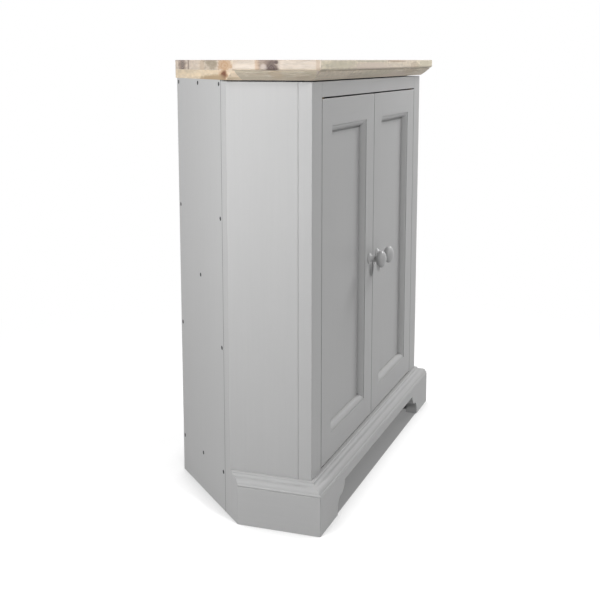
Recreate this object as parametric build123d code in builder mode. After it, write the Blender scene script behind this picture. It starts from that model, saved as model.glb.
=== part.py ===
from build123d import *
import os
from math import sqrt

# Corner sideboard: a painted six-sided cabinet that stands in a room's corner.
# It has a face frame with two inset panelled doors, a moulded bracket plinth and a solid wood top.
# Millimetres. X runs along the front, the front faces -Y and +Z is up.
# The origin is on the floor, at the middle of the cabinet's width and depth.

os.makedirs("parts", exist_ok=True)

# Overall sizes
cabinet_height = 850.0
carcass_width = 776.0
side_depth = 162.0
corner_run = 188.0
diagonal = sqrt(2)

# Wood top: a board with strips under its edges
top_board_thickness = 18.0
top_strip_thickness = 17.0
top_strip_width = 70.0
top_overhang = 24.0
top_rear_overhang = 6.0
top_upper_rounding = 1.2
top_lower_rounding = 4.5
top_strip_setback = 5.0
top_strip_fillet = 2.0
top_strip_foot = 2.0
top_strip_bulge = 0.8
top_shadow_gap = 2.5

# Boards of the carcass
side_thickness = 18.0
back_thickness = 12.0
sub_top_thickness = 15.0
shelf_thickness = 18.0
bottom_thickness = 18.0
shelf_level = 439.0
bottom_board_drop = 17.5
shelf_setback = 8.0
board_arris = 1.0

# Corner posts behind the joints of the back panels
post_leg = 32.0
post_depth = 20.0

# Face frame
frame_thickness = 26.0
stile_width = 52.0
top_rail_height = 30.0
bottom_rail_height = 40.0
sill_reveal = 1.5

# Plinth: its moulding's outline is in shares of the plinth's thickness outwards and the moulding's height up
plinth_height = 94.0
plinth_thickness = 26.0
moulding_height = 21.0
foot_width = 102.0
foot_toe_height = 11.0
arch_rail_height = 39.0
bead_bottom_share = (0.95, 0.04)
bead_middle_share = (1.0, 0.13)
bead_top_share = (0.95, 0.22)
round_bottom_share = (0.92, 0.26)
round_middle_share = (0.81, 0.54)
cove_bottom_share = (0.54, 0.68)
cove_middle_share = (0.34, 0.74)
fillet_bottom_share = (0.24, 0.86)
fillet_top_share = (0.24, 0.94)
crown_share = (0.17, 1.0)

# Doors
door_gap = 3.0
door_thickness = 22.0
door_stile_width = 55.0
door_rail_width = 50.0
door_arris = 1.0
panel_thickness = 6.0
panel_recess = 12.5
groove_depth = 9.0
groove_room = 0.5
bead_width = 11.0
bead_quirk = 1.2
bead_lip = 2.5
bead_bulge = 2.2

# Knobs, turned on a neck between a flared base and a mushroom head
knob_level = 443.0
knob_diameter = 35.0
knob_projection = 37.0
knob_base_diameter = 23.0
knob_base_lip = 2.0
knob_neck_diameter = 13.0
knob_neck_start = 9.0
knob_neck_end = 14.0
knob_collar_diameter = 20.0
knob_collar_height = 18.0
knob_widest_height = 27.0
knob_rim_radius = 6.0
knob_flare_share = 1 / 3
knob_screw_depth = 14.0
knob_hole_room = 2.0

# Knife hinges, let into the door's top and bottom edges and into the frame's rails
hinge_length = 46.0
hinge_width = 10.0
hinge_leaf = 2.5
leaf_start_share = 0.6
leaf_screw_shares = (0.4, 0.67)
pivot_inset = 14.0
pivot_depth = 7.5
pivot_diameter = 6.0
pivot_reach = 6.0
pivot_clearance = 0.06
pivot_hole_room = 1.0
thrust_collar_diameter = 10.0
running_gap = 0.3

# Magnetic catches behind the top rail, and their strike plates on the doors
catch_length = 46.0
catch_depth = 17.0
catch_height = 30.0
catch_nose_height = 14.0
catch_offset = 29.0
catch_flange_depth = 14.0
catch_flange_thickness = 3.0
catch_screw_spacing = 26.0
strike_length = 40.0
strike_height = 11.0
strike_thickness = 1.7
strike_screw_spacing = 24.0
hardware_arris = 1.0

# Fasteners
back_screw_head = 8.0
back_screw_shank = 3.6
back_screw_length = 28.0
back_screw_edge = 9.0
rear_screw_edge = 25.0
fixing_screw_head = 8.0
fixing_screw_shank = 4.4
fixing_screw_length = 40.0
hardware_screw_head = 6.0
hardware_screw_shank = 3.0
hardware_screw_length = 14.0
countersink_angle = 90.0
back_screw_rows = 4
plinth_front_screw_shares = (-0.66, 0, 0.66)
plinth_side_screw_shares = (0.3, 0.8)
frame_dowel_shares = (0.25, 0.75)
dowel_diameter = 6.0
dowel_length = 30.0
side_dowel_depth = 10.0
knob_screw_shank = 4.0
knob_screw_head = 8.4
knob_screw_head_height = 2.4

# Levels
carcass_height = cabinet_height - top_board_thickness - top_strip_thickness
top_board_level = carcass_height + top_strip_thickness
frame_top = carcass_height - top_shadow_gap
opening_top = carcass_height - top_rail_height
sill_level = plinth_height + sill_reveal
sill_bottom = sill_level - bottom_rail_height
door_top = opening_top - door_gap
door_bottom = sill_level + door_gap
door_height = door_top - door_bottom
door_middle = (door_top + door_bottom) / 2
sub_top_bottom = carcass_height - sub_top_thickness
sub_top_level = carcass_height - sub_top_thickness / 2
shelf_bottom = shelf_level - shelf_thickness / 2
bottom_level = plinth_height - bottom_board_drop
bottom_board_top = bottom_level + bottom_thickness / 2
bottom_board_bottom = bottom_level - bottom_thickness / 2

# Plan
carcass_depth = side_depth + corner_run
front_reach = max(plinth_thickness, top_overhang)
front_face = (front_reach - carcass_depth - top_rear_overhang) / 2
rear_face = front_face + carcass_depth
frame_back = front_face + frame_thickness
door_back = front_face + door_thickness
half_width = carcass_width / 2
inner_half_width = half_width - side_thickness
half_opening = half_width - stile_width
door_outer = half_opening - door_gap
door_inner = door_gap / 2
overrun = cabinet_height + carcass_width


def plan_points(front_out, side_out, back_out, rear_out):
    """The six corners of the plan, counterclockwise from the front left, with each face moved out so far."""
    front = front_face - front_out
    rear = rear_face + rear_out
    side = half_width + side_out
    slant = front_face + side_depth + half_width + back_out * diagonal
    return [
        (-side, front),
        (side, front),
        (side, slant - side),
        (slant - rear, rear),
        (rear - slant, rear),
        (-side, slant - side),
    ]


def ring_piece(outer, inner, number):
    """The four corners of one mitred piece of the ring between two outlines."""
    after = (number + 1) % len(outer)
    return [outer[number], outer[after], inner[after], inner[number]]


def front_plane(depth=0.0):
    """The plane that faces the viewer, that far behind the cabinet's front face."""
    return Plane((0, front_face + depth, 0), x_dir=(1, 0, 0), z_dir=(0, -1, 0))


def moulded_block(section, level, height):
    """A block over the whole plan whose front and sides have the section's outline, to cut mitred pieces."""
    front_run = Plane((0, front_face, level), x_dir=(0, -1, 0), z_dir=(-1, 0, 0))
    left_run = Plane((-half_width, 0, level), x_dir=(-1, 0, 0), z_dir=(0, 1, 0))
    right_run = Plane((half_width, 0, level), x_dir=(1, 0, 0), z_dir=(0, -1, 0))
    with BuildPart() as block:
        with BuildSketch(Plane.XY.offset(level)):
            Rectangle(overrun, overrun)
        extrude(amount=height)
        for run in (front_run, left_run, right_run):
            with BuildSketch(run):
                add(section)
            extrude(amount=overrun, both=True, mode=Mode.INTERSECT)
    return block.part


def wood_screw(head_diameter, shank_diameter, length):
    """A countersunk wood screw with its head flush at the origin, pointing down to a blunt tip."""
    with BuildPart() as screw:
        with BuildSketch(Plane.XZ):
            with BuildLine():
                Polyline(
                    (0, 0),
                    (head_diameter / 2, 0),
                    (shank_diameter / 2, (shank_diameter - head_diameter) / 2),
                    (shank_diameter / 2, shank_diameter - length),
                    (shank_diameter / 4, -length),
                    (0, -length),
                    close=True,
                )
            make_face()
        revolve(axis=Axis.Z)
    return screw.part


def countersunk_hole(head_diameter, shank_diameter, depth):
    """Cut a screw's clearance hole with a seat for its head at each of the places in use."""
    CounterSinkHole(
        radius=shank_diameter / 2,
        counter_sink_radius=head_diameter / 2,
        depth=depth,
        counter_sink_angle=countersink_angle,
    )


def save(piece, name):
    """Label a finished piece and write it out."""
    piece.part.label = name
    export_step(piece.part, f"parts/{name}.step")


# Plan outlines
front_edge, right_edge, back_right_edge, rear_edge, back_left_edge, left_edge = range(6)
carcass_plan = plan_points(0, 0, 0, 0)
inside_plan = plan_points(-frame_thickness, -side_thickness, -back_thickness, -back_thickness)
shelf_front = -frame_thickness - shelf_setback
shelf_plan = plan_points(shelf_front, -side_thickness, -back_thickness, -back_thickness)
top_plan = plan_points(top_overhang, top_overhang, 0, top_rear_overhang)
strip_inner_plan = plan_points(
    top_overhang - top_strip_width,
    top_overhang - top_strip_width,
    -top_strip_width,
    top_rear_overhang - top_strip_width,
)
plinth_plan = plan_points(plinth_thickness, plinth_thickness, 0, 0)

# Corners of the left back panel: where it starts at the side panel, and where it meets the rear panel
outward = Vector(-1, 1, 0).normalized()
rearward = Vector(1, 1, 0).normalized()
side_corner = Vector(*carcass_plan[left_edge], 0)
rear_corner = Vector(*carcass_plan[back_left_edge], 0)
seam_corner = side_corner + rearward * side_thickness * diagonal
inner_side_corner = Vector(*inside_plan[left_edge], 0)
inner_rear_corner = Vector(*inside_plan[back_left_edge], 0)

# Back screw places: a column at each end of a panel, from the bottom board to the sub-top, and one between
level_step = (sub_top_level - bottom_level) / (back_screw_rows - 1)
column_levels = [bottom_level + level_step * row for row in range(back_screw_rows)]
board_levels = [bottom_level, shelf_level, sub_top_level]
back_left_places = [
    Plane(column + Vector(0, 0, level), x_dir=(0, 0, 1), z_dir=outward)
    for column, levels in (
        (seam_corner + rearward * back_screw_edge, column_levels),
        ((seam_corner + rear_corner) / 2, board_levels),
        (rear_corner - rearward * back_screw_edge, column_levels),
    )
    for level in levels
]
rear_places = [
    Plane((column, rear_face, level), x_dir=(0, 0, 1), z_dir=(0, 1, 0))
    for column, levels in (
        (rear_corner.X + rear_screw_edge, column_levels),
        (0, board_levels),
        (-rear_corner.X - rear_screw_edge, column_levels),
    )
    for level in levels
]

# Middles of the dowels between the left side panel and its boards, and between the left stile and its rails
board_dowel_places = [
    Plane((dowel_length / 2 - inner_half_width - side_dowel_depth, line, level), z_dir=(1, 0, 0))
    for level in board_levels
    for line in (
        frame_back + shelf_setback + dowel_diameter * 2,
        front_face + side_depth - post_leg - dowel_diameter * 2,
    )
]
frame_dowel_places = [
    Plane((-half_opening, front_face + frame_thickness / 2, bottom + height * share), z_dir=(1, 0, 0))
    for bottom, height in (
        (opening_top, frame_top - opening_top),
        (sill_bottom, bottom_rail_height),
    )
    for share in frame_dowel_shares
]

# Places of the screws up through the sub-top into the top, and of those out into the plinth
strip_screw_line = top_strip_width - top_overhang - fixing_screw_head
top_screw_places = [
    Plane((x, y, sub_top_bottom), x_dir=(1, 0, 0), z_dir=(0, 0, -1))
    for x, y in (
        (-half_opening / 2, front_face + strip_screw_line),
        (half_opening / 2, front_face + strip_screw_line),
        (strip_screw_line - half_width, front_face + side_depth / 2),
        (half_width - strip_screw_line, front_face + side_depth / 2),
        (0, rear_face - strip_screw_line),
    )
]
plinth_front_places = [
    Plane((half_opening * share, frame_back, (sill_bottom + bottom_board_bottom) / 2), z_dir=(0, 1, 0))
    for share in plinth_front_screw_shares
]
plinth_left_places = [
    Plane((-inner_half_width, front_face + side_depth * share, plinth_height / 3), z_dir=(1, 0, 0))
    for share in plinth_side_screw_shares
]

# Hinge places on the left: the leaves' screws go up into the top rail and down into the sill and the door
pivot_x = pivot_inset - door_outer
pivot_y = front_face + pivot_depth
leaf_middle = pivot_x - hinge_width * leaf_start_share + hinge_length / 2
leaf_screw_lines = [pivot_x + hinge_length * share for share in leaf_screw_shares]
rail_leaf_places = [Plane((x, pivot_y, opening_top), z_dir=(0, 0, -1)) for x in leaf_screw_lines]
sill_leaf_places = [Plane((x, pivot_y, sill_level)) for x in leaf_screw_lines]
door_leaf_places = [Plane((x, pivot_y, door_top)) for x in leaf_screw_lines]
middle_level = Plane.XY.offset(door_middle)

# Places of the left catch, its strike plate and their screws
catch_x = -door_inner - catch_offset
catch_front = door_back + strike_thickness + running_gap
catch_back = frame_back + catch_depth
nose_bottom = sub_top_bottom - catch_height
strike_level = nose_bottom + catch_nose_height / 2
flange_middle = catch_back + catch_flange_depth / 2
flange_bottom = sub_top_bottom - catch_flange_thickness
strike_face = door_back + strike_thickness
catch_screw_places = [
    Plane((catch_x + step, flange_middle, flange_bottom), z_dir=(0, 0, -1))
    for step in (-catch_screw_spacing / 2, catch_screw_spacing / 2)
]
strike_screw_places = [
    Plane((catch_x + step, strike_face, strike_level), z_dir=(0, 1, 0))
    for step in (-strike_screw_spacing / 2, strike_screw_spacing / 2)
]

# Fasteners as single solids
back_screw = wood_screw(back_screw_head, back_screw_shank, back_screw_length)
fixing_screw = wood_screw(fixing_screw_head, fixing_screw_shank, fixing_screw_length)
hardware_screw = wood_screw(hardware_screw_head, hardware_screw_shank, hardware_screw_length)


# Top board: square at the back, rounded at the front and sides
with BuildPart() as top_board:
    with BuildSketch(Plane.XY.offset(top_board_level)):
        with BuildLine():
            Polyline(*top_plan, close=True)
        make_face()
    extrude(amount=top_board_thickness)
    lower_edges = top_board.edges().group_by(Axis.Z)[0]
    fillet(lower_edges.sort_by(Axis.Y)[:1] + lower_edges.filter_by(Axis.Y), radius=top_lower_rounding)
    fillet(top_board.edges().group_by(Axis.Z)[-1], radius=top_upper_rounding)
    with Locations(*top_screw_places):
        Hole(radius=fixing_screw_shank / 2, depth=fixing_screw_length)
save(top_board, "top_board")


# Top strips: the front and sides have a bevelled, gently bulging edge that stops at the carcass
strip_crown = top_overhang - top_strip_setback
strip_shoulder = top_strip_thickness - top_strip_fillet
bevel_middle = Vector((strip_crown + top_strip_foot) / 2, strip_shoulder / 2)
bevel_bulge = Vector(strip_shoulder, top_strip_foot - strip_crown).normalized() * top_strip_bulge
with BuildSketch() as strip_section:
    with BuildLine():
        ThreePointArc((top_strip_foot, 0), bevel_middle + bevel_bulge, (strip_crown, strip_shoulder))
        Polyline(
            (strip_crown, strip_shoulder),
            (strip_crown, top_strip_thickness),
            (-overrun, top_strip_thickness),
            (-overrun, 0),
            (top_strip_foot, 0),
        )
    make_face()
strip_block = moulded_block(strip_section.sketch, carcass_height, top_strip_thickness)
for number, side in enumerate(("front", "right", "back_right", "rear", "back_left", "left")):
    with BuildPart() as top_strip:
        with BuildSketch(Plane.XY.offset(carcass_height)):
            with BuildLine():
                Polyline(*ring_piece(top_plan, strip_inner_plan, number), close=True)
            make_face()
        extrude(amount=top_strip_thickness)
        add(strip_block, mode=Mode.INTERSECT)
        with Locations(*top_screw_places):
            Hole(radius=fixing_screw_shank / 2, depth=fixing_screw_length)
    save(top_strip, f"top_strip_{side}")


# Face frame: stiles from the floor nearly to the top, a top rail above the doors and a sill rail below them
with BuildPart() as frame_stile_left:
    with BuildSketch():
        with Locations((-half_opening - stile_width / 2, front_face + frame_thickness / 2)):
            Rectangle(stile_width, frame_thickness)
    extrude(amount=frame_top)
    upright_edges = frame_stile_left.edges().filter_by(Axis.Z)
    front_edges = upright_edges.group_by(Axis.Y)[0]
    groove_edge = upright_edges.group_by(Axis.X)[0].sort_by(Axis.Y)[-1:]
    chamfer(front_edges + groove_edge, length=board_arris)
    with Locations(*frame_dowel_places):
        Cylinder(radius=dowel_diameter / 2, height=dowel_length, mode=Mode.SUBTRACT)
save(frame_stile_left, "frame_stile_left")

with BuildPart() as frame_stile_right:
    mirror(frame_stile_left.part, about=Plane.YZ)
save(frame_stile_right, "frame_stile_right")

with BuildPart() as frame_top_rail:
    with BuildSketch(front_plane()):
        with Locations((0, (opening_top + frame_top) / 2)):
            Rectangle(half_opening * 2, frame_top - opening_top)
    extrude(amount=-frame_thickness)
    with BuildSketch(Plane.XY.offset(opening_top)):
        with Locations((leaf_middle, pivot_y), (-leaf_middle, pivot_y)):
            SlotOverall(hinge_length, hinge_width)
    extrude(amount=hinge_leaf, mode=Mode.SUBTRACT)
    with Locations(*rail_leaf_places):
        Hole(radius=hardware_screw_shank / 2, depth=hardware_screw_length)
    with Locations(*frame_dowel_places):
        Cylinder(radius=dowel_diameter / 2, height=dowel_length, mode=Mode.SUBTRACT)
    mirror(frame_top_rail.part, about=Plane.YZ, mode=Mode.INTERSECT)
save(frame_top_rail, "frame_top_rail")

with BuildPart() as frame_sill_rail:
    with BuildSketch(front_plane()):
        with Locations((0, sill_bottom + bottom_rail_height / 2)):
            Rectangle(half_opening * 2, bottom_rail_height)
    extrude(amount=-frame_thickness)
    with BuildSketch(Plane.XY.offset(sill_level)):
        with Locations((leaf_middle, pivot_y), (-leaf_middle, pivot_y)):
            SlotOverall(hinge_length, hinge_width)
    extrude(amount=-hinge_leaf, mode=Mode.SUBTRACT)
    with Locations(*sill_leaf_places):
        Hole(radius=hardware_screw_shank / 2, depth=hardware_screw_length)
    with Locations(*frame_dowel_places):
        Cylinder(radius=dowel_diameter / 2, height=dowel_length, mode=Mode.SUBTRACT)
    mirror(frame_sill_rail.part, about=Plane.YZ, mode=Mode.INTERSECT)
    with Locations(*plinth_front_places):
        countersunk_hole(fixing_screw_head, fixing_screw_shank, fixing_screw_length)
save(frame_sill_rail, "frame_sill_rail")


# Side panels: the rear edge is cut at 45 degrees and shows beside the back panel
with BuildPart() as side_panel_left:
    with BuildSketch():
        with BuildLine():
            Polyline(
                (-half_width, frame_back),
                (-inner_half_width, frame_back),
                (-inner_half_width, seam_corner.Y),
                (-half_width, side_corner.Y),
                close=True,
            )
        make_face()
    extrude(amount=frame_top)
    outer_edges = side_panel_left.edges().filter_by(Axis.Z).sort_by(Axis.X)[:2]
    chamfer(outer_edges.sort_by(Axis.Y)[:1], length=board_arris)
    with Locations(*board_dowel_places):
        Cylinder(radius=dowel_diameter / 2, height=dowel_length, mode=Mode.SUBTRACT)
    with Locations(*plinth_left_places):
        countersunk_hole(fixing_screw_head, fixing_screw_shank, fixing_screw_length)
save(side_panel_left, "side_panel_left")

with BuildPart() as side_panel_right:
    mirror(side_panel_left.part, about=Plane.YZ)
save(side_panel_right, "side_panel_right")


# Back panels: two at 45 degrees and one across the rear, mitred to each other and screwed on
with BuildPart() as back_panel_left:
    with BuildSketch():
        with BuildLine():
            Polyline(
                seam_corner,
                rear_corner,
                inner_rear_corner,
                inner_side_corner,
                close=True,
            )
        make_face()
    extrude(amount=carcass_height)
    with Locations(*back_left_places):
        countersunk_hole(back_screw_head, back_screw_shank, back_screw_length)
save(back_panel_left, "back_panel_left")

with BuildPart() as back_panel_right:
    mirror(back_panel_left.part, about=Plane.YZ)
save(back_panel_right, "back_panel_right")

with BuildPart() as back_panel_rear:
    with BuildSketch():
        with BuildLine():
            Polyline(*ring_piece(carcass_plan, inside_plan, rear_edge), close=True)
        make_face()
    extrude(amount=carcass_height)
    with Locations(*rear_places):
        countersunk_hole(back_screw_head, back_screw_shank, back_screw_length)
save(back_panel_rear, "back_panel_rear")


# Corner posts: five-sided battens that back each end of the slanting panels
with BuildPart() as side_post_left:
    with BuildSketch(Plane.XY.offset(bottom_board_top)):
        with BuildLine():
            Polyline(
                inner_side_corner,
                inner_side_corner + rearward * post_leg,
                inner_side_corner + rearward * post_leg - outward * post_depth,
                inner_side_corner + Vector(post_depth, -post_leg),
                inner_side_corner + Vector(0, -post_leg),
                close=True,
            )
        make_face()
    extrude(amount=sub_top_bottom - bottom_board_top)
    with Locations(*back_left_places):
        Hole(radius=back_screw_shank / 2, depth=back_screw_length)
save(side_post_left, "side_post_left")

with BuildPart() as side_post_right:
    mirror(side_post_left.part, about=Plane.YZ)
save(side_post_right, "side_post_right")

with BuildPart() as rear_post_left:
    with BuildSketch(Plane.XY.offset(bottom_board_top)):
        with BuildLine():
            Polyline(
                inner_rear_corner,
                inner_rear_corner - rearward * post_leg,
                inner_rear_corner - rearward * post_leg - outward * post_depth,
                inner_rear_corner + Vector(post_leg, -post_depth),
                inner_rear_corner + Vector(post_leg, 0),
                close=True,
            )
        make_face()
    extrude(amount=sub_top_bottom - bottom_board_top)
    with Locations(*back_left_places, *rear_places):
        Hole(radius=back_screw_shank / 2, depth=back_screw_length)
save(rear_post_left, "rear_post_left")

with BuildPart() as rear_post_right:
    mirror(rear_post_left.part, about=Plane.YZ)
save(rear_post_right, "rear_post_right")


# Boards inside the carcass, cut and drilled on the left and then alike on the right
with BuildPart() as sub_top:
    with BuildSketch(Plane.XY.offset(sub_top_bottom)):
        with BuildLine():
            Polyline(*inside_plan, close=True)
        make_face()
    extrude(amount=sub_top_thickness)
    with Locations(*board_dowel_places):
        Cylinder(radius=dowel_diameter / 2, height=dowel_length, mode=Mode.SUBTRACT)
    with Locations(*back_left_places, *rear_places):
        Hole(radius=back_screw_shank / 2, depth=back_screw_length)
    with Locations(*catch_screw_places):
        Hole(radius=hardware_screw_shank / 2, depth=hardware_screw_length)
    mirror(sub_top.part, about=Plane.YZ, mode=Mode.INTERSECT)
    with Locations(*top_screw_places):
        countersunk_hole(fixing_screw_head, fixing_screw_shank, fixing_screw_length)
save(sub_top, "sub_top")

with BuildPart() as shelf:
    with BuildSketch(Plane.XY.offset(shelf_bottom)):
        with BuildLine():
            Polyline(*shelf_plan, close=True)
        make_face()
    extrude(amount=shelf_thickness)
    fillet(shelf.edges().group_by(Axis.Y)[0].filter_by(Axis.X), radius=board_arris)
    add([side_post_left.part, rear_post_left.part], mode=Mode.SUBTRACT)
    with Locations(*board_dowel_places):
        Cylinder(radius=dowel_diameter / 2, height=dowel_length, mode=Mode.SUBTRACT)
    with Locations(*back_left_places, *rear_places):
        Hole(radius=back_screw_shank / 2, depth=back_screw_length)
    mirror(shelf.part, about=Plane.YZ, mode=Mode.INTERSECT)
save(shelf, "shelf")

with BuildPart() as bottom_board:
    with BuildSketch(Plane.XY.offset(bottom_board_bottom)):
        with BuildLine():
            Polyline(*inside_plan, close=True)
        make_face()
    extrude(amount=bottom_thickness)
    with Locations(*board_dowel_places):
        Cylinder(radius=dowel_diameter / 2, height=dowel_length, mode=Mode.SUBTRACT)
    with Locations(*back_left_places, *rear_places):
        Hole(radius=back_screw_shank / 2, depth=back_screw_length)
    mirror(bottom_board.part, about=Plane.YZ, mode=Mode.INTERSECT)
save(bottom_board, "bottom_board")


# Plinth: mitred at the front corners, with a cove and round over a small bead along its top edge
def moulding_point(share):
    """A point of the moulding's outline, outwards from the carcass and up from the floor."""
    return (plinth_thickness * share[0], plinth_height + moulding_height * (share[1] - 1))


with BuildSketch() as plinth_section:
    with BuildLine():
        Polyline(
            (-overrun, 0),
            (plinth_thickness, 0),
            (plinth_thickness, plinth_height - moulding_height),
            moulding_point(bead_bottom_share),
        )
        ThreePointArc(
            moulding_point(bead_bottom_share),
            moulding_point(bead_middle_share),
            moulding_point(bead_top_share),
        )
        Line(moulding_point(bead_top_share), moulding_point(round_bottom_share))
        ThreePointArc(
            moulding_point(round_bottom_share),
            moulding_point(round_middle_share),
            moulding_point(cove_bottom_share),
        )
        ThreePointArc(
            moulding_point(cove_bottom_share),
            moulding_point(cove_middle_share),
            moulding_point(fillet_bottom_share),
        )
        Polyline(
            moulding_point(fillet_bottom_share),
            moulding_point(fillet_top_share),
            moulding_point(crown_share),
            (-overrun, plinth_height),
            (-overrun, 0),
        )
    make_face()
plinth_block = moulded_block(plinth_section.sketch, 0, plinth_height)

with BuildPart() as plinth_front:
    with BuildSketch():
        with BuildLine():
            Polyline(*ring_piece(plinth_plan, carcass_plan, front_edge), close=True)
        make_face()
    extrude(amount=plinth_height)
    add(plinth_block, mode=Mode.INTERSECT)
    arch_height = plinth_height - arch_rail_height
    ogee_radius = (arch_height - foot_toe_height) / 2
    arch_foot = half_width + plinth_thickness - foot_width
    arch_knee = arch_foot - ogee_radius
    arch_head = arch_knee - ogee_radius
    knee_level = arch_height - ogee_radius
    with BuildSketch(front_plane(-plinth_thickness)):
        with BuildLine():
            for side in (1, -1):
                Line((arch_foot * side, 0), (arch_foot * side, foot_toe_height))
                RadiusArc(
                    (arch_foot * side, foot_toe_height),
                    (arch_knee * side, knee_level),
                    radius=-ogee_radius * side,
                )
                RadiusArc(
                    (arch_knee * side, knee_level),
                    (arch_head * side, arch_height),
                    radius=ogee_radius * side,
                )
            Line((-arch_head, arch_height), (arch_head, arch_height))
            Line((-arch_foot, 0), (arch_foot, 0))
        make_face()
    extrude(amount=-plinth_thickness, mode=Mode.SUBTRACT)
    with Locations(*plinth_front_places):
        Hole(radius=fixing_screw_shank / 2, depth=fixing_screw_length)
save(plinth_front, "plinth_front")

with BuildPart() as plinth_left:
    with BuildSketch():
        with BuildLine():
            Polyline(*ring_piece(plinth_plan, carcass_plan, left_edge), close=True)
        make_face()
    extrude(amount=plinth_height)
    add(plinth_block, mode=Mode.INTERSECT)
    with Locations(*plinth_left_places):
        Hole(radius=fixing_screw_shank / 2, depth=fixing_screw_length)
save(plinth_left, "plinth_left")

with BuildPart() as plinth_right:
    mirror(plinth_left.part, about=Plane.YZ)
save(plinth_right, "plinth_right")


# Fasteners of the carcass
with BuildPart() as back_screws:
    with Locations(*back_left_places):
        add(back_screw)
    mirror(back_screws.part, about=Plane.YZ)
    with Locations(*rear_places):
        add(back_screw)
save(back_screws, "back_screws")

with BuildPart() as fixing_screws:
    with Locations(*plinth_left_places):
        add(fixing_screw)
    mirror(fixing_screws.part, about=Plane.YZ)
    with Locations(*plinth_front_places, *top_screw_places):
        add(fixing_screw)
save(fixing_screws, "fixing_screws")

with BuildPart() as dowels:
    with Locations(*board_dowel_places, *frame_dowel_places):
        Cylinder(radius=dowel_diameter / 2, height=dowel_length)
    mirror(dowels.part, about=Plane.YZ)
save(dowels, "dowels")


# Frame halves of the hinges: a leaf in the rail with the pivot pin and the collar that the door turns against
with BuildPart() as frame_hinges:
    with BuildSketch(Plane.XY.offset(opening_top)):
        with Locations((leaf_middle, pivot_y)):
            SlotOverall(hinge_length, hinge_width)
    extrude(amount=hinge_leaf)
    with BuildSketch(Plane.XY.offset(opening_top)):
        with Locations((pivot_x, pivot_y)):
            Circle(thrust_collar_diameter / 2)
    extrude(amount=running_gap - door_gap)
    with BuildSketch(Plane.XY.offset(opening_top)):
        with Locations((pivot_x, pivot_y)):
            Circle(pivot_diameter / 2)
    extrude(amount=-door_gap - pivot_reach)
    with Locations(*rail_leaf_places):
        countersunk_hole(hardware_screw_head, hardware_screw_shank, hinge_leaf)
    mirror(frame_hinges.part, about=middle_level)
    mirror(frame_hinges.part, about=Plane.YZ)
save(frame_hinges, "frame_hinges")


# Magnetic catches: a block against the top rail's back, with a nose that meets the strike plate
with BuildPart() as catches:
    with BuildSketch(Plane.YZ.offset(catch_x - catch_length / 2)):
        with BuildLine():
            Polyline(
                (catch_front, nose_bottom),
                (catch_back, nose_bottom),
                (catch_back, flange_bottom),
                (catch_back + catch_flange_depth, flange_bottom),
                (catch_back + catch_flange_depth, sub_top_bottom),
                (frame_back, sub_top_bottom),
                (frame_back, nose_bottom + catch_nose_height),
                (catch_front, nose_bottom + catch_nose_height),
                close=True,
            )
        make_face()
    extrude(amount=catch_length)
    fillet(catches.edges().filter_by(Axis.Y).group_by(Axis.Z)[0], radius=hardware_arris)
    with Locations(*catch_screw_places):
        countersunk_hole(hardware_screw_head, hardware_screw_shank, catch_flange_thickness)
    mirror(catches.part, about=Plane.YZ)
save(catches, "catches")

with BuildPart() as hardware_screws:
    with Locations(*rail_leaf_places):
        add(hardware_screw)
    mirror(hardware_screws.part, about=middle_level)
    with Locations(*catch_screw_places):
        add(hardware_screw)
    mirror(hardware_screws.part, about=Plane.YZ)
save(hardware_screws, "hardware_screws")


# Doors: each piece is made for the left door, and the right door's pieces are their mirror images
door_pieces = {}
panel_left = door_stile_width - door_outer
panel_right = -door_inner - door_stile_width
panel_top = door_top - door_rail_width
panel_bottom = door_bottom + door_rail_width
tongue = groove_depth - groove_room
knob_x = -door_inner - door_stile_width / 2

with BuildPart() as hinge_stile:
    with BuildSketch(front_plane()):
        with Locations((panel_left - door_stile_width / 2, door_middle)):
            Rectangle(door_stile_width, door_height)
    extrude(amount=-door_thickness)
    fillet(hinge_stile.edges().group_by(Axis.Y)[0].sort_by(Axis.X)[:-1], radius=door_arris)
    with BuildSketch(front_plane(panel_recess)):
        with Locations((panel_left - groove_depth / 2, door_middle)):
            Rectangle(groove_depth, door_height)
    extrude(amount=-panel_thickness, mode=Mode.SUBTRACT)
    with BuildSketch(Plane.XY.offset(door_top)):
        with Locations((leaf_middle, pivot_y)):
            SlotOverall(hinge_length, hinge_width)
    extrude(amount=-hinge_leaf, mode=Mode.SUBTRACT)
    with BuildSketch(Plane.XY.offset(door_top)):
        with Locations((pivot_x, pivot_y)):
            Circle((pivot_diameter + pivot_hole_room) / 2)
    extrude(amount=-pivot_reach - pivot_hole_room, mode=Mode.SUBTRACT)
    with Locations(*door_leaf_places):
        Hole(radius=hardware_screw_shank / 2, depth=hardware_screw_length)
    mirror(hinge_stile.part, about=middle_level, mode=Mode.INTERSECT)
door_pieces["hinge_stile"] = hinge_stile

with BuildPart() as meeting_stile:
    with BuildSketch(front_plane()):
        with Locations((panel_right + door_stile_width / 2, door_middle)):
            Rectangle(door_stile_width, door_height)
    extrude(amount=-door_thickness)
    fillet(meeting_stile.edges().group_by(Axis.Y)[0].sort_by(Axis.X)[1:], radius=door_arris)
    with BuildSketch(front_plane(panel_recess)):
        with Locations((panel_right + groove_depth / 2, door_middle)):
            Rectangle(groove_depth, door_height)
    extrude(amount=-panel_thickness, mode=Mode.SUBTRACT)
    with Locations(Plane((knob_x, door_back, knob_level), z_dir=(0, 1, 0))):
        Hole(radius=knob_screw_shank / 2, depth=door_thickness)
    with Locations(*strike_screw_places):
        Hole(radius=hardware_screw_shank / 2, depth=hardware_screw_length)
door_pieces["meeting_stile"] = meeting_stile

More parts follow.
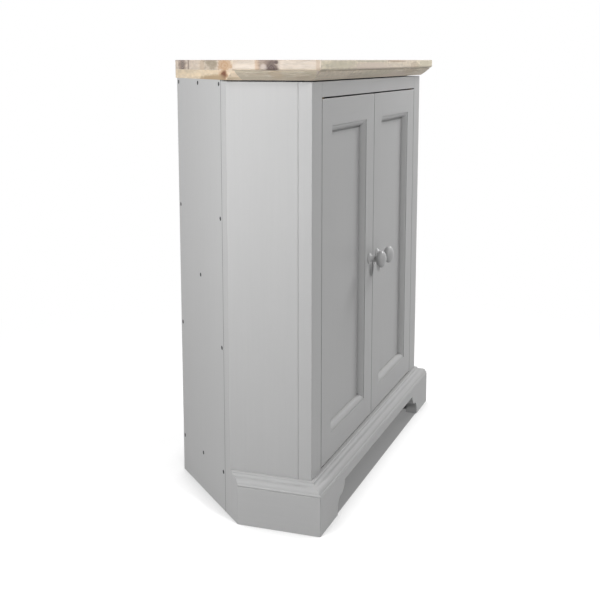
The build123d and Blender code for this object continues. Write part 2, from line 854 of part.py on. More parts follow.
with BuildPart() as top_rail:
    with BuildSketch(front_plane()):
        with Locations(((panel_left + panel_right) / 2, panel_top + door_rail_width / 2)):
            Rectangle(panel_right - panel_left, door_rail_width)
    extrude(amount=-door_thickness)
    fillet(top_rail.edges().group_by(Axis.Y)[0].sort_by(Axis.Z)[-1:], radius=door_arris)
    with BuildSketch(front_plane(panel_recess)):
        with Locations(((panel_left + panel_right) / 2, panel_top + door_rail_width / 2)):
            Rectangle(panel_right - panel_left + tongue * 2, door_rail_width)
    extrude(amount=-panel_thickness)
    with BuildSketch(front_plane(panel_recess)):
        with Locations(((panel_left + panel_right) / 2, panel_top + groove_depth / 2)):
            Rectangle(panel_right - panel_left + tongue * 2, groove_depth)
    extrude(amount=-panel_thickness, mode=Mode.SUBTRACT)
door_pieces["top_rail"] = top_rail

with BuildPart() as bottom_rail:
    mirror(top_rail.part, about=middle_level)
door_pieces["bottom_rail"] = bottom_rail

with BuildPart() as panel:
    with BuildSketch(front_plane(panel_recess)):
        with Locations(((panel_left + panel_right) / 2, door_middle)):
            Rectangle(panel_right - panel_left + tongue * 2, panel_top - panel_bottom + tongue * 2)
    extrude(amount=-panel_thickness)
door_pieces["panel"] = panel

# Bead round the panel: four lengths mitred together, each with a quirk, a round and a lip
bead_start = Vector(bead_quirk, -bead_quirk)
bead_end = Vector(bead_width, bead_lip - panel_recess)
bead_chord = bead_end - bead_start
bead_crest = (bead_start + bead_end) / 2 + Vector(-bead_chord.Y, bead_chord.X).normalized() * bead_bulge
with BuildSketch() as bead_section:
    with BuildLine():
        ThreePointArc(bead_start, bead_crest, bead_end)
        Polyline(
            bead_end,
            (bead_width, -panel_recess),
            (0, -panel_recess),
            (0, -bead_quirk),
            bead_start,
        )
    make_face()
bead_outline = [
    (panel_left, panel_bottom),
    (panel_right, panel_bottom),
    (panel_right, panel_top),
    (panel_left, panel_top),
]
bead_inline = [
    (panel_left + bead_width, panel_bottom + bead_width),
    (panel_right - bead_width, panel_bottom + bead_width),
    (panel_right - bead_width, panel_top - bead_width),
    (panel_left + bead_width, panel_top - bead_width),
]
bead_inward = {"bottom": (0, 0, 1), "meeting": (-1, 0, 0), "top": (0, 0, -1), "hinge": (1, 0, 0)}
for number, (side, inward) in enumerate(bead_inward.items()):
    corner_x, corner_z = bead_outline[number]
    with BuildPart() as bead:
        with BuildSketch(front_plane()):
            with BuildLine():
                Polyline(*ring_piece(bead_outline, bead_inline, number), close=True)
            make_face()
        extrude(amount=-panel_recess)
        along = Vector(inward).cross(Vector(0, -1, 0))
        with BuildSketch(Plane((corner_x, front_face, corner_z), x_dir=inward, z_dir=along)):
            add(bead_section.sketch)
        extrude(amount=overrun, both=True, mode=Mode.INTERSECT)
    door_pieces[f"bead_{side}"] = bead

# Knob and its screw: the head's low crown runs smoothly into a rim of a smaller radius
crown_rise = knob_projection - knob_widest_height
rim_reach = knob_diameter / 2 - knob_rim_radius
crown_radius = (rim_reach**2 + crown_rise**2 - knob_rim_radius**2) / (2 * (crown_rise - knob_rim_radius))
rim_middle = Vector(rim_reach, -knob_widest_height)
crown_middle = Vector(0, crown_radius - knob_projection)
crown_edge = rim_middle + (rim_middle - crown_middle).normalized() * knob_rim_radius
with BuildPart() as knob:
    with BuildSketch(Plane((knob_x, front_face, knob_level))):
        with BuildLine():
            Polyline(
                (0, 0),
                (knob_base_diameter / 2, 0),
                (knob_base_diameter / 2, -knob_base_lip),
            )
            TangentArc(
                (knob_base_diameter / 2, -knob_base_lip),
                (knob_neck_diameter / 2, -knob_neck_start),
                tangent=(-1, -knob_flare_share),
            )
            Line((knob_neck_diameter / 2, -knob_neck_start), (knob_neck_diameter / 2, -knob_neck_end))
            TangentArc(
                (knob_neck_diameter / 2, -knob_neck_end),
                (knob_collar_diameter / 2, -knob_collar_height),
                tangent=(0, -1),
            )
            TangentArc(
                (knob_diameter / 2, -knob_widest_height),
                (knob_collar_diameter / 2, -knob_collar_height),
                tangent=(0, 1),
            )
            rim = TangentArc((knob_diameter / 2, -knob_widest_height), crown_edge, tangent=(0, -1))
            TangentArc(crown_edge, (0, -knob_projection), tangent=rim % 1)
            Line((0, -knob_projection), (0, 0))
        make_face()
    revolve(axis=Axis((knob_x, front_face, knob_level), (0, 1, 0)))
    with Locations(Plane((knob_x, front_face, knob_level), z_dir=(0, 1, 0))):
        Hole(radius=knob_screw_shank / 2, depth=knob_screw_depth + knob_hole_room)
door_pieces["knob"] = knob

with BuildPart() as knob_screw:
    with BuildSketch(front_plane(door_thickness)):
        with Locations((knob_x, knob_level)):
            Circle(knob_screw_head / 2)
    extrude(amount=-knob_screw_head_height)
    fillet(knob_screw.edges().group_by(Axis.Y)[-1], radius=knob_screw_head_height / 3)
    with BuildSketch(front_plane(door_thickness)):
        with Locations((knob_x, knob_level)):
            Circle(knob_screw_shank / 2)
    extrude(amount=door_thickness + knob_screw_depth)
door_pieces["knob_screw"] = knob_screw

# Door halves of the hinges
with BuildPart() as hinges:
    with BuildSketch(Plane.XY.offset(door_top)):
        with Locations((leaf_middle, pivot_y)):
            SlotOverall(hinge_length, hinge_width)
        with Locations((pivot_x, pivot_y)):
            Circle(pivot_diameter / 2 + pivot_clearance, mode=Mode.SUBTRACT)
    extrude(amount=-hinge_leaf)
    with Locations(*door_leaf_places):
        countersunk_hole(hardware_screw_head, hardware_screw_shank, hinge_leaf)
    mirror(hinges.part, about=middle_level)
door_pieces["hinges"] = hinges

with BuildPart() as strike_plate:
    with BuildSketch(front_plane(door_thickness)):
        with Locations((catch_x, strike_level)):
            RectangleRounded(strike_length, strike_height, radius=hardware_arris * 2)
    extrude(amount=-strike_thickness)
    with Locations(*strike_screw_places):
        countersunk_hole(hardware_screw_head, hardware_screw_shank, strike_thickness)
door_pieces["strike_plate"] = strike_plate

with BuildPart() as screws:
    with Locations(*door_leaf_places):
        add(hardware_screw)
    mirror(screws.part, about=middle_level)
    with Locations(*strike_screw_places):
        add(hardware_screw)
door_pieces["screws"] = screws

for name, piece in door_pieces.items():
    save(piece, f"left_door_{name}")
    with BuildPart() as mirrored_piece:
        mirror(piece.part, about=Plane.YZ)
    save(mirrored_piece, f"right_door_{name}")
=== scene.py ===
import math

import bpy
from mathutils import Matrix, Vector

# Looks of the corner sideboard: grey satin paint, a limed wood top, and its metal and plastic fittings.
# Metres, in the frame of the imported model: X along the front, the front faces -Y and +Z is up.

# Camera: near the photograph's place and angle. The photograph is 600 x 600 pixels.
PHOTO_SIZE = 600
FOCAL_PIXELS = 1061.1
FRAME_SHIFT = -0.10
CAMERA_PLACE = (-2.1183, -0.7691, 0.85)
CAMERA_YAW = math.radians(19.91)
CAMERA_PITCH = math.radians(9.632)
SENSOR_WIDTH = 36.0

# Lamps: place, width and power of each soft box
LAMPS = {
    "key": ((-2.76, -4.25, 3.92), 0.45, 158.0),
    "back": ((-1.90, 1.60, 1.45), 0.80, 24.5),
    "side": ((-2.20, 0.60, 1.30), 0.80, 7.0),
    "near": ((-1.10, 0.10, 0.86), 0.40, 3.3),
    "right": ((1.60, -0.85, 1.70), 0.70, 29.0),
    "rear": ((1.40, 2.60, 1.90), 1.60, 20.0),
}
LAMP_TARGET = (0.0, 0.0, 0.45)
WORLD_LEVEL = 0.02

# Outline of the cabinet's foot: how far it reaches to the front, sideways, to the rear and, as
# |x| + y, to its slanting back panels
FOOT_FRONT = 0.189
FOOT_SIDE = 0.412
FOOT_REAR = 0.185
FOOT_SLANT = 0.385

# Floor: the grey that it throws back on the cabinet, the grey and glow that the camera sees in the
# open, and the painted shadow that the camera sees under the cabinet
FLOOR_RADIUS = 12.0
FLOOR_SIDES = 96
FLOOR_LEVEL = -0.0002
FLOOR_GREY = 0.55
FLOOR_LOOK = 0.42
FLOOR_LIFT = 0.78
UNDER_SHADOW_LOOK = 0.10
UNDER_SHADOW_LIFT = 0.19
UNDER_FADE = (-0.0005, 0.0015)
SHADOW_REACH = 0.16
SHADOW_RANGE = (0.20, 0.75)
SHADOW_FADE = (0.55, 1.50)

# Paint: the scale of its brush lines along a piece and across it, of its clouds and of its stipple
PAINT = (0.45, 0.45, 0.45)
PAINT_ROUGHNESS = 0.42
PAINT_GLOSS = 0.06
KNOB_ROUGHNESS = 0.40
KNOB_GLOSS = 0.32
BRUSH_ALONG = 6.0
BRUSH_ACROSS = 220.0
CLOUD_SCALE = 4.0
STIPPLE_SCALE = 900.0
PAINT_RELIEF = (0.10, 0.0005)
ARRIS = 0.0008

# Painted shade in the paint's gaps, grooves and corners, and a painted shade line on the seam of side
# panel and back panel at y - |x| = SEAM_PLACE
GAP_REACH = 0.006
GAP_RANGE = (0.12, 0.45)
GAP_SHADE = 0.20
SEAM_PLACE = -0.355
SEAM_FADE = (0.0014, 0.0006)
SEAM_SKIN = (FOOT_SLANT - 0.0015, FOOT_SLANT - 0.0005)

# Fittings: colour and roughness
METALS = {
    "zinc steel": ((0.60, 0.60, 0.62), 0.30),
    "black steel": ((0.02, 0.02, 0.022), 0.40),
    "nickel steel": ((0.62, 0.60, 0.56), 0.25),
    "aged brass": ((0.16, 0.12, 0.065), 0.45),
}
PLAINS = {
    "white plastic": ((0.78, 0.78, 0.76), 0.45),
    "beech": ((0.60, 0.42, 0.26), 0.60),
}

# Colours of the wood
CREAM = (0.70, 0.63, 0.50)
PINKISH = (0.69, 0.58, 0.49)
BEIGE = (0.60, 0.53, 0.41)
OLIVE = (0.52, 0.475, 0.36)
YELLOW = (0.60, 0.49, 0.34)
TAN = (0.47, 0.36, 0.255)
TAUPE = (0.52, 0.445, 0.36)
BROWN = (0.27, 0.20, 0.155)
KNOT_BROWN = (0.13, 0.09, 0.08)
PALE_PINK = (0.74, 0.66, 0.61)
PURPLE_GREY = (0.36, 0.30, 0.29)
LIME = (0.80, 0.76, 0.70)
SAND = (0.80, 0.70, 0.56)
WARM_SAND = (0.78, 0.65, 0.52)
KHAKI = (0.46, 0.405, 0.315)
OCHRE = (0.33, 0.235, 0.135)
MOSS = (0.24, 0.195, 0.135)
SALMON = (0.45, 0.265, 0.14)
UMBER = (0.23, 0.17, 0.14)
DARK_KNOT = (0.10, 0.07, 0.065)
RED_KNOT = (0.14, 0.045, 0.015)

# Staves: their size on an edge and on the top face, where they start, and how wide a joint shows
STAVE_WIDTH = 0.045
EDGE_STAVE = 0.227
TOP_STAVE = 0.34
STAVE_START = 0.019
JOINT_WIDTH = 0.0005
JOINT_STRENGTH = 0.55
FACE_STEPS = 7.0
FACE_ROWS = 13.0
THIRD_TONE = 0.7

# Grain: the scale of each noise along a face, across it and out of it
WANDER_SCALE = (14.0, 40.0, 40.0)
FIGURE_SCALE = (9.0, 130.0, 130.0)
PATCH_SCALE = (60.0, 150.0, 150.0)
LINE_SCALE = (30.0, 620.0, 620.0)
PORE_SCALE = (220.0, 1800.0, 1800.0)
WANDER = 0.02
WOOD_SHADE = 0.39
WOOD_ROUGHNESS = 0.46
WOOD_GLOSS = 0.22
WOOD_RELIEF = (0.22, 0.0006)

# Where a noise colours the wood: the range over which it fades in, and how strongly
FIGURE_STAIN = ((0.56, 0.76), 0.50)
LIME_STAIN = ((0.52, 0.75), 0.40)
PORE_STAIN = ((0.66, 0.80), 0.45)
RIM_FADE = (0.8470, 0.8500)
RIM_STRENGTH = 0.30

# Marks: they fade out from their middle, and those below TOP_FACE show only weakly on level faces
MARK_REACH = 0.95
MARK_FADE = (1.60, 0.65)
MARK_WARP = 0.9
MARK_LOSS = 0.8
RING_STEP = 11.0
RING_FADE = (-0.4, 0.9)
RING_STRENGTH = 0.45
TOP_FACE = 0.849

# Each mark: centre and half sizes, colour, strength, and how far rings show in it
BOARD_MARKS = (
    ((-0.223, 0.162, 0.841), (0.018, 0.018, 0.014), UMBER, 0.90, 0.0),
    ((-0.225, 0.160, 0.841), (0.009, 0.009, 0.009), KNOT_BROWN, 0.90, 0.6),
    ((-0.249, 0.136, 0.841), (0.004, 0.004, 0.020), UMBER, 0.80, 0.0),
    ((-0.303, 0.082, 0.840), (0.010, 0.010, 0.018), TAN, 0.60, 0.0),
    ((-0.339, 0.046, 0.844), (0.030, 0.030, 0.010), MOSS, 0.80, 0.2),
    ((-0.386, -0.001, 0.840), (0.028, 0.028, 0.015), SALMON, 0.85, 0.4),
    ((-0.412, -0.073, 0.841), (0.010, 0.004, 0.014), SALMON, 0.50, 0.0),
    ((-0.412, -0.094, 0.843), (0.010, 0.016, 0.016), UMBER, 0.95, 0.3),
    ((-0.412, -0.099, 0.838), (0.010, 0.009, 0.010), DARK_KNOT, 0.95, 0.15),
    ((-0.412, -0.085, 0.838), (0.008, 0.005, 0.005), PALE_PINK, 0.40, 0.0),
    ((-0.412, -0.108, 0.846), (0.010, 0.003, 0.003), DARK_KNOT, 0.90, 0.0),
    ((-0.412, -0.183, 0.841), (0.010, 0.003, 0.020), TAN, 0.60, 0.0),
    ((-0.290, -0.189, 0.842), (0.080, 0.010, 0.007), OLIVE, 0.50, 0.0),
    ((-0.100, -0.189, 0.838), (0.110, 0.010, 0.008), PINKISH, 0.80, 0.0),
    ((-0.100, -0.189, 0.848), (0.110, 0.010, 0.002), OLIVE, 0.80, 0.0),
    ((0.080, -0.189, 0.848), (0.070, 0.010, 0.002), TAN, 0.90, 0.0),
    ((0.250, -0.189, 0.838), (0.040, 0.010, 0.006), TAN, 0.60, 0.5),
    ((0.360, -0.189, 0.841), (0.070, 0.010, 0.020), OLIVE, 0.70, 0.0),
    ((0.110, 0.020, 0.850), (0.030, 0.012, 0.010), KNOT_BROWN, 0.70, 1.0),
    ((-0.160, -0.070, 0.850), (0.016, 0.009, 0.010), RED_KNOT, 0.60, 1.0),
)
STRIP_MARKS = {
    "back_left": (
        ((-0.380, 0.005, 0.824), (0.018, 0.018, 0.010), SALMON, 0.95, 0.5),
        ((-0.382, 0.003, 0.824), (0.011, 0.011, 0.007), RED_KNOT, 1.00, 0.0),
        ((-0.345, 0.040, 0.817), (0.060, 0.060, 0.006), OCHRE, 0.90, 0.0),
    ),
    "left": (
        ((-0.405, -0.103, 0.823), (0.012, 0.010, 0.014), TAN, 0.45, 0.0),
        ((-0.405, -0.186, 0.825), (0.012, 0.006, 0.012), PURPLE_GREY, 0.60, 0.0),
        ((-0.405, -0.150, 0.818), (0.012, 0.014, 0.006), BROWN, 0.30, 0.5),
    ),
    "front": (
        ((-0.180, -0.180, 0.820), (0.050, 0.014, 0.006), BROWN, 0.25, 0.0),
        ((-0.050, -0.180, 0.824), (0.090, 0.014, 0.010), OLIVE, 0.45, 0.0),
        ((0.140, -0.180, 0.820), (0.070, 0.014, 0.006), PINKISH, 0.60, 0.0),
        ((0.240, -0.180, 0.826), (0.060, 0.014, 0.004), TAN, 0.50, 0.0),
    ),
}

# Tones: three for the staves of each piece, and a painted light and shade tint for each way that a face
# of the board looks: its top face, ends and slanting faces darker and its front edge lighter
BOARD_TONES = (CREAM, PINKISH, BEIGE)
FACE_LIGHT_TINTS = (
    ((-1.0, 0.0, 0.0), (0.84, 0.85, 0.89)),
    ((1.0, 0.0, 0.0), (0.84, 0.85, 0.89)),
    ((-0.7071, 0.7071, 0.0), (0.88, 0.86, 0.87)),
    ((0.7071, 0.7071, 0.0), (0.88, 0.86, 0.87)),
    ((0.0, 0.0, 1.0), (0.71, 0.71, 0.71)),
    ((0.0, -1.0, 0.0), (1.12, 1.12, 1.10)),
)
# The strips' tones differ partly as real wood does and partly as painted light and shade: the front
# strip's sand tones are lighter and the left strip's khaki tones darker, as light falls on them
STRIP_TONES = {
    "front": (SAND, WARM_SAND, CREAM),
    "left": (KHAKI, TAUPE, KHAKI),
    "right": (TAUPE, OLIVE, BEIGE),
    "back_left": (YELLOW, WARM_SAND, YELLOW),
    "back_right": (BEIGE, CREAM, PINKISH),
    "rear": (CREAM, BEIGE, OLIVE),
}
TINT_FADE = (0.90, 0.98)
LEVEL_FADE = (0.75, 0.95)
BOARD_SEED = 3.0
STRIP_SEED = 11.0


class Graph:
    """The nodes of a material or of the world, added and linked by name."""

    def __init__(self, owner):
        self.owner = owner
        owner.use_nodes = True
        self.tree = owner.node_tree
        self.tree.nodes.clear()

    def add(self, kind, settings=None, **inputs):
        """One node. Inputs are values or another node's output, by socket name or number."""
        node = self.tree.nodes.new(kind)
        for key, value in (settings or {}).items():
            setattr(node, key, value)
        for key, value in inputs.items():
            number = key[1:]
            label = int(number) if number.isdigit() else key.replace("_", " ")
            self.feed(node.inputs[label], value)
        return node

    def feed(self, socket, value):
        """Link an output to a socket, or set the socket's own value."""
        if isinstance(value, bpy.types.NodeSocket):
            self.tree.links.new(value, socket)
        elif socket.type == "RGBA":
            socket.default_value = (*value, 1)
        else:
            socket.default_value = value

    def math(self, operation, first, second=0.0, third=0.0):
        settings = {"operation": operation}
        return self.add("ShaderNodeMath", settings, i0=first, i1=second, i2=third).outputs[0]

    def times(self, first, second):
        return self.math("MULTIPLY", first, second)

    def less(self, first, second):
        return self.math("SUBTRACT", first, second)

    def total(self, base, *parts):
        """A base plus each part times its share."""
        for value, share in parts:
            base = self.math("MULTIPLY_ADD", value, share, base)
        return base

    def vector(self, operation, first, second=(0, 0, 0)):
        node = self.add("ShaderNodeVectorMath", {"operation": operation}, i0=first, i1=second)
        return node.outputs["Value" if operation in ("LENGTH", "DOT_PRODUCT") else "Vector"]

    def combine(self, x, y, z):
        return self.add("ShaderNodeCombineXYZ", None, X=x, Y=y, Z=z).outputs[0]

    def separate(self, vector):
        return self.add("ShaderNodeSeparateXYZ", None, Vector=vector).outputs

    def fade(self, value, low, high):
        """0 below low and 1 above high, or the other way round where low is the larger."""
        settings = {"interpolation_type": "SMOOTHSTEP"}
        limits = {"From_Min": low, "From_Max": high}
        return self.add("ShaderNodeMapRange", settings, Value=value, **limits).outputs[0]

    def between(self, factor, first, second):
        """A number between two others."""
        return self.add("ShaderNodeMix", None, i0=factor, i2=first, i3=second).outputs[0]

    def mix(self, factor, first, second, blend="MIX"):
        """A colour between two others."""
        settings = {"data_type": "RGBA", "blend_type": blend}
        return self.add("ShaderNodeMix", settings, i0=factor, i6=first, i7=second).outputs[2]

    def stain(self, color, mask, strength, second):
        """A colour that takes on a second one where a mask is 1, as far as the strength goes."""
        return self.mix(self.times(mask, strength), color, second)

    def openness(self, reach, low, high):
        """0 deep in a gap and 1 out in the open, by what lies within reach of the surface."""
        node = self.add("ShaderNodeAmbientOcclusion", {"samples": 8}, Distance=reach)
        return self.fade(node.outputs["AO"], low, high)

    def noise(self, vector, scale, detail, roughness=0.5):
        values = {"Scale": scale, "Detail": detail, "Roughness": roughness}
        return self.add("ShaderNodeTexNoise", None, Vector=vector, **values).outputs["Fac"]

    def stretched(self, vector, scales, detail, roughness=0.5):
        """Noise with a scale of its own along each axis."""
        return self.noise(self.vector("MULTIPLY", vector, scales), 1.0, detail, roughness)

    def white(self, vector):
        """Three numbers that stay the same within a whole step of the vector."""
        settings = {"noise_dimensions": "3D"}
        return self.add("ShaderNodeTexWhiteNoise", settings, Vector=vector).outputs["Color"]

    def tint(self, color, factor):
        """A colour made lighter or darker by a factor."""
        node = self.add("ShaderNodeVectorMath", {"operation": "SCALE"}, i0=color)
        self.feed(node.inputs["Scale"], factor)
        return node.outputs[0]

    def soften(self, height, strength, distance):
        """A normal with rounded arrises and the bumps of a height."""
        edge = self.add("ShaderNodeBevel", {"samples": 4}, Radius=ARRIS).outputs[0]
        values = {"Strength": strength, "Distance": distance, "Height": height, "Normal": edge}
        return self.add("ShaderNodeBump", None, **values).outputs[0]

    def finish(self, shader, output="ShaderNodeOutputMaterial"):
        """Link the last shader to the output. Gives the material or the world."""
        self.tree.links.new(shader.outputs[0], self.add(output).inputs[0])
        return self.owner

    def solid(self, color, roughness, **shader):
        """End the material in a plain solid surface."""
        values = {"Base_Color": color, "Roughness": roughness, **shader}
        return self.finish(self.add("ShaderNodeBsdfPrincipled", None, **values))


def new_material(name):
    """A new material's graph, and the point in the frame's metres, which moves with its body."""
    graph = Graph(bpy.data.materials.new(name))
    return graph, graph.add("ShaderNodeTexCoord").outputs["Object"]


def seam_line(graph, point):
    """1 on the thin seam of side panel and back panel, on the outer skin of the slanting back, where a
    painted shade line goes.
    """
    x, y = graph.separate(point)[:2]
    wide = graph.math("ABSOLUTE", x)
    away = graph.math("ABSOLUTE", graph.less(graph.less(y, wide), SEAM_PLACE))
    outer = graph.fade(graph.math("ADD", y, wide), *SEAM_SKIN)
    return graph.times(graph.fade(away, *SEAM_FADE), outer)


def paint(name, along, roughness=PAINT_ROUGHNESS, gloss=PAINT_GLOSS, seam=False):
    """Satin paint: faint brush lines along the piece, slow clouds, and a roller's fine stipple."""
    graph, point = new_material(name)
    scales = [BRUSH_ALONG if axis == along else BRUSH_ACROSS for axis in range(3)]
    brush = graph.stretched(point, scales, 3.0, 0.6)
    clouds = graph.noise(point, CLOUD_SCALE, 3.0)
    stipple = graph.noise(point, STIPPLE_SCALE, 2.0)
    tone = graph.total(0.945, (brush, 0.05), (clouds, 0.06))
    rough = graph.total(roughness - 0.07, (clouds, 0.06), (stipple, 0.08))
    normal = graph.soften(graph.total(0.0, (stipple, 0.3), (brush, 0.7)), *PAINT_RELIEF)
    # Painted shade: the paint is darker where little is open around it, deep in gaps, grooves and
    # corners
    tone = graph.times(tone, graph.between(graph.openness(GAP_REACH, *GAP_RANGE), GAP_SHADE, 1.0))
    if seam:
        # Painted shade along the seam of side panel and back panel
        tone = graph.times(tone, graph.between(seam_line(graph, point), 1.0, GAP_SHADE))
    return graph.solid(graph.tint(PAINT, tone), rough, Normal=normal, Specular_IOR_Level=gloss)


def metal(name):
    """Plated or aged metal with fine drawn lines and slow stains."""
    color, roughness = METALS[name]
    graph, point = new_material(name)
    lines = graph.noise(graph.vector("MULTIPLY", point, (0.15, 1, 1)), 900.0, 2.0)
    stains = graph.noise(point, 120.0, 3.0)
    tone = graph.total(0.75, (stains, 0.3), (lines, 0.2))
    return graph.solid(graph.tint(color, tone), graph.total(roughness, (lines, 0.15)), Metallic=1.0)


def plain(name):
    """Moulded plastic or raw beech, with a fine mottle."""
    color, roughness = PLAINS[name]
    graph, point = new_material(name)
    speckle = graph.noise(point, 260.0, 3.0)
    tone = graph.total(0.9, (speckle, 0.2))
    return graph.solid(graph.tint(color, tone), graph.total(roughness, (speckle, 0.1)))


def face_grid(graph, point, toward):
    """Where a point lies on its face: how far along, across and out, and if the face is level.

    The grain of an upright face runs level along it, and that of a level face along X.
    """
    x, y, z = graph.separate(point)
    toward_x, toward_y, toward_z = graph.separate(toward)
    level = graph.fade(graph.math("ABSOLUTE", toward_z), *LEVEL_FADE)
    outward = graph.vector("NORMALIZE", graph.combine(toward_x, toward_y, 0.0))
    onward = graph.vector("NORMALIZE", graph.combine(graph.times(toward_y, -1.0), toward_x, 0.0))
    along = graph.between(level, graph.vector("DOT_PRODUCT", point, onward), x)
    across = graph.between(level, z, y)
    out = graph.between(level, graph.vector("DOT_PRODUCT", point, outward), z)
    return along, across, out, level


def staves(graph, along, across, out, level, seed):
    """Three numbers for each stave of a face, and 1 in the joints between the staves."""
    rows = graph.math("DIVIDE", across, STAVE_WIDTH)
    face = graph.math("FLOOR", graph.times(out, FACE_STEPS))
    row = graph.total(graph.math("FLOOR", rows), (face, FACE_ROWS))
    shift = graph.times(graph.separate(graph.white(graph.combine(row, seed, 0.0)))[0], level)
    length = graph.between(level, EDGE_STAVE, TOP_STAVE)
    cells = graph.math("DIVIDE", graph.less(along, STAVE_START), length)
    cells = graph.math("ADD", cells, shift)
    picks = graph.white(graph.combine(row, graph.math("FLOOR", cells), seed))
    end_gap = graph.times(graph.math("PINGPONG", cells, 0.5), length)
    side_gap = graph.times(graph.math("PINGPONG", rows, 0.5), STAVE_WIDTH)
    return picks, graph.fade(graph.math("MINIMUM", end_gap, side_gap), JOINT_WIDTH, 0.0)


def wood(name, tones, marks, seed, face_light_tints=()):
    """Limed hardwood glued up from staves, each with its own tone, with knots and stains as marks.

    The faces that look one way can have their own tint, which paints light and shade on them.
    """
    graph, point = new_material(name)
    toward = graph.add("ShaderNodeTexCoord").outputs["Normal"]
    along, across, out, level = face_grid(graph, point, toward)
    picks, joint = staves(graph, along, across, out, level, seed)
    first, second, third = graph.separate(picks)

    # Grain: long figure, short patches, fine lines and pores, all shifted from stave to stave
    grid = graph.vector("ADD", graph.combine(along, across, out), picks)
    wander = graph.times(graph.stretched(grid, WANDER_SCALE, 2.0), WANDER)
    warped = graph.vector("ADD", grid, graph.combine(0.0, wander, 0.0))
    figure = graph.stretched(warped, FIGURE_SCALE, 4.0, 0.6)
    patches = graph.stretched(grid, PATCH_SCALE, 2.0)
    lines = graph.stretched(warped, LINE_SCALE, 2.0)
    pores = graph.stretched(warped, PORE_SCALE, 1.0)

    # Colour of the staves and of their grain
    color = graph.stain(graph.mix(first, tones[0], tones[1]), second, THIRD_TONE, tones[2])
    shade = graph.total(WOOD_SHADE, (figure, 0.60), (third, 0.12), (patches, 0.50))
    color = graph.tint(color, shade)
    for grain, (limits, strength), grain_color in (
        (figure, FIGURE_STAIN, BROWN),
        (lines, LIME_STAIN, LIME),
        (pores, PORE_STAIN, BROWN),
    ):
        color = graph.stain(color, graph.fade(grain, *limits), strength, grain_color)
    # Painted light and shade: the faces that look one way are tinted lighter or darker
    for direction, tint in face_light_tints:
        match = graph.fade(graph.vector("DOT_PRODUCT", toward, direction), *TINT_FADE)
        color = graph.mix(match, color, graph.mix(1.0, color, tint, "MULTIPLY"))

    # Knots and stains, with rings in some of them
    for centre, half, mark_color, strength, rings in marks:
        offset = graph.vector("DIVIDE", graph.vector("SUBTRACT", point, centre), half)
        away = graph.less(graph.vector("LENGTH", offset), MARK_REACH)
        away = graph.math("ADD", away, graph.total(patches, (figure, MARK_WARP)))
        wave = graph.fade(graph.math("SINE", graph.times(away, RING_STEP)), *RING_FADE)
        ringed = graph.stain(mark_color, wave, RING_STRENGTH * rings, tones[0])
        hold = strength
        if centre[2] < TOP_FACE:
            hold = graph.total(strength, (level, -MARK_LOSS * strength))
        color = graph.stain(color, graph.fade(away, *MARK_FADE), hold, ringed)

    # A dark line along the upper rim of the edges, and dark joints
    rim = graph.fade(graph.separate(point)[2], *RIM_FADE)
    color = graph.stain(color, graph.times(rim, graph.less(1.0, level)), RIM_STRENGTH, BROWN)
    color = graph.stain(color, joint, JOINT_STRENGTH, BROWN)

    height = graph.total(0.0, (pores, -0.5), (lines, 0.5), (joint, -0.5))
    rough = graph.total(WOOD_ROUGHNESS, (lines, 0.14))
    normal = graph.soften(height, *WOOD_RELIEF)
    return graph.solid(color, rough, Normal=normal, Specular_IOR_Level=WOOD_GLOSS)


def assign(node, material):
    """Put one material on all of a node's faces."""
    if not node.material_slots:
        node.data.materials.append(material)
    for material_slot in node.material_slots:
        material_slot.material = material


def dress(frame):
    """Give each CAD node its material. The first rule that fits the end of its name holds."""
    grains = [paint(f"grey paint {letter}", axis) for axis, letter in enumerate("xyz")]
    grain_x, grain_y, grain_z = grains
    rules = [
        (("top_board",), wood("top board wood", BOARD_TONES, BOARD_MARKS, BOARD_SEED, FACE_LIGHT_TINTS)),
        (("back_screws",), metal("black steel")),
        (("catches",), plain("white plastic")),
        (("dowels",), plain("beech")),
        (("door_knob",), paint("knob paint", 1, KNOB_ROUGHNESS, KNOB_GLOSS)),
        (("hinges",), metal("aged brass")),
        (("strike_plate",), metal("nickel steel")),
        (("screws", "knob_screw"), metal("zinc steel")),
        (("rail", "bead_top", "bead_bottom", "plinth_front", "shelf", "board", "sub_top"), grain_x),
        (("plinth_left", "plinth_right"), grain_y),
        (("panel_left", "panel_right"), paint("carcass paint", 2, seam=True)),
        (("",), grain_z),
    ]
    for number, (side, tones) in enumerate(STRIP_TONES.items()):
        marks = STRIP_MARKS.get(side, ())
        strip_wood = wood(f"top strip wood {side}", tones, marks, STRIP_SEED + number)
        rules.insert(0, ((f"top_strip_{side}",), strip_wood))
    for name, node in frame["nodes"].items():
        assign(node, next(material for endings, material in rules if name.endswith(endings)))


def add_camera():
    """The camera stands level with the top. It looks, and shifts its frame, a little down."""
    data = bpy.data.cameras.new("camera")
    data.sensor_width = SENSOR_WIDTH
    data.lens = FOCAL_PIXELS * SENSOR_WIDTH / PHOTO_SIZE
    data.shift_y = FRAME_SHIFT
    camera = bpy.data.objects.new("camera", data)
    flat = math.cos(CAMERA_PITCH)
    forward_x = math.cos(CAMERA_YAW) * flat
    forward_y = math.sin(CAMERA_YAW) * flat
    forward = Vector((forward_x, forward_y, -math.sin(CAMERA_PITCH)))
    turn = forward.to_track_quat("-Z", "Y").to_matrix().to_4x4()
    camera.matrix_world = Matrix.Translation(CAMERA_PLACE) @ turn
    bpy.context.scene.collection.objects.link(camera)
    bpy.context.scene.camera = camera


def add_lamp(name, where, width, power):
    """A square soft box that faces the cabinet."""
    data = bpy.data.lights.new(name, "AREA")
    data.shape = "SQUARE"
    data.size = width
    data.energy = power
    lamp = bpy.data.objects.new(name, data)
    lamp.location = where
    aim = Vector(LAMP_TARGET) - Vector(where)
    lamp.rotation_euler = aim.to_track_quat("-Z", "Y").to_euler()
    bpy.context.scene.collection.objects.link(lamp)


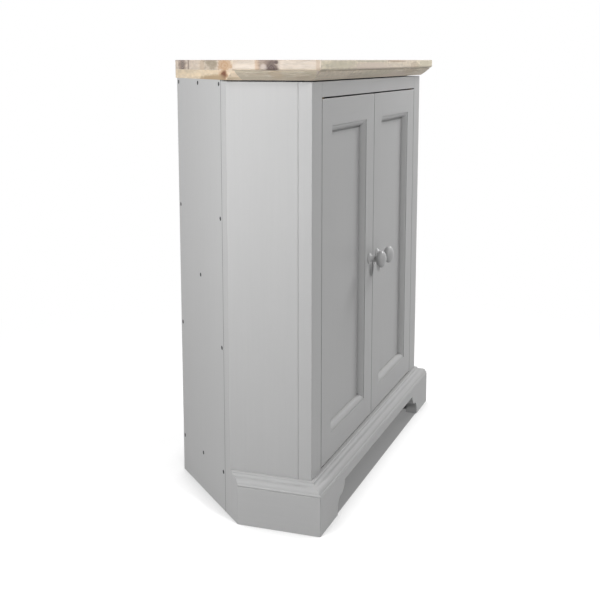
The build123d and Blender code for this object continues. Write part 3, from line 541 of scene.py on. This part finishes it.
def add_world():
    """A dim white surround that the camera, reflections and glass see as fully white."""
    world = bpy.data.worlds.new("studio")
    bpy.context.scene.world = world
    graph = Graph(world)
    rays = graph.add("ShaderNodeLightPath").outputs
    white = graph.math("MAXIMUM", rays["Is Camera Ray"], rays["Is Glossy Ray"])
    white = graph.math("MAXIMUM", white, rays["Is Transmission Ray"])
    strength = graph.between(white, WORLD_LEVEL, 1.0)
    surround = graph.add("ShaderNodeBackground", None, Color=(1, 1, 1), Strength=strength)
    graph.finish(surround, "ShaderNodeOutputWorld")


def add_floor():
    """A round floor: white to the camera, with the cabinet's shadow close in, partly real and partly
    painted, and grey to the light.
    """
    where = (0, 0, FLOOR_LEVEL)
    bpy.ops.mesh.primitive_circle_add(
        vertices=FLOOR_SIDES, radius=FLOOR_RADIUS, fill_type="NGON", location=where
    )
    floor = bpy.context.object
    floor.name = "floor"
    graph, point = new_material("white floor")
    rays = graph.add("ShaderNodeLightPath").outputs
    mottle = graph.total(0.98, (graph.noise(point, 3.0, 2.0), 0.04))

    # 1 under the cabinet, where a painted shadow goes, and 0 in the open
    x, y = graph.separate(point)[:2]
    wide = graph.math("ABSOLUTE", x)
    slant = graph.math("ADD", wide, y)
    under = graph.math("ADD", y, FOOT_FRONT)
    for limit, reach in ((FOOT_SIDE, wide), (FOOT_REAR, y), (FOOT_SLANT, slant)):
        under = graph.math("MINIMUM", under, graph.less(limit, reach))
    under = graph.fade(under, *UNDER_FADE)

    # What the camera sees: a lit floor with a glow that painted shade takes away near the cabinet and
    # painted shadow under it, then white
    lift = graph.times(graph.openness(SHADOW_REACH, *SHADOW_RANGE), FLOOR_LIFT)
    lift = graph.between(under, lift, UNDER_SHADOW_LIFT)
    look = graph.times(mottle, graph.between(under, FLOOR_LOOK, UNDER_SHADOW_LOOK))
    shaded = graph.add("ShaderNodeBsdfDiffuse", None, Color=graph.combine(look, look, look))
    lifted = graph.add("ShaderNodeEmission", None, Strength=lift)
    near = graph.add("ShaderNodeAddShader", None, i0=shaded.outputs[0], i1=lifted.outputs[0])
    white = graph.add("ShaderNodeEmission", None, Strength=1.0)
    far = graph.fade(graph.vector("LENGTH", point), *SHADOW_FADE)
    seen = graph.add("ShaderNodeMixShader", None, i0=far, i1=near.outputs[0], i2=white.outputs[0])

    # What the light sees: a grey floor, but white in reflections and through glass
    grey = graph.add("ShaderNodeBsdfDiffuse", None, Color=graph.tint((FLOOR_GREY,) * 3, mottle))
    gloss = graph.math("MAXIMUM", rays["Is Glossy Ray"], rays["Is Transmission Ray"])
    unseen = graph.add("ShaderNodeMixShader", None, i0=gloss, i1=grey.outputs[0], i2=white.outputs[0])

    views = {"i0": rays["Is Camera Ray"], "i1": unseen.outputs[0], "i2": seen.outputs[0]}
    assign(floor, graph.finish(graph.add("ShaderNodeMixShader", None, **views)))


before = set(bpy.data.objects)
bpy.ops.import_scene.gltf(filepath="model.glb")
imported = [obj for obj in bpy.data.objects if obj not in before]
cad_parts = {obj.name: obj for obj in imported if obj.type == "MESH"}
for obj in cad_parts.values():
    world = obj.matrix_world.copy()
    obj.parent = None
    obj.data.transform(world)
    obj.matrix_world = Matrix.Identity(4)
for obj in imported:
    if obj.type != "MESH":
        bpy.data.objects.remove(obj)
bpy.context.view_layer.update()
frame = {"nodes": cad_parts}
dress(frame)
add_camera()
for lamp_name, (lamp_place, lamp_width, lamp_power) in LAMPS.items():
    add_lamp(lamp_name, lamp_place, lamp_width, lamp_power)
add_world()
add_floor()
bpy.context.scene.view_settings.view_transform = "Standard"
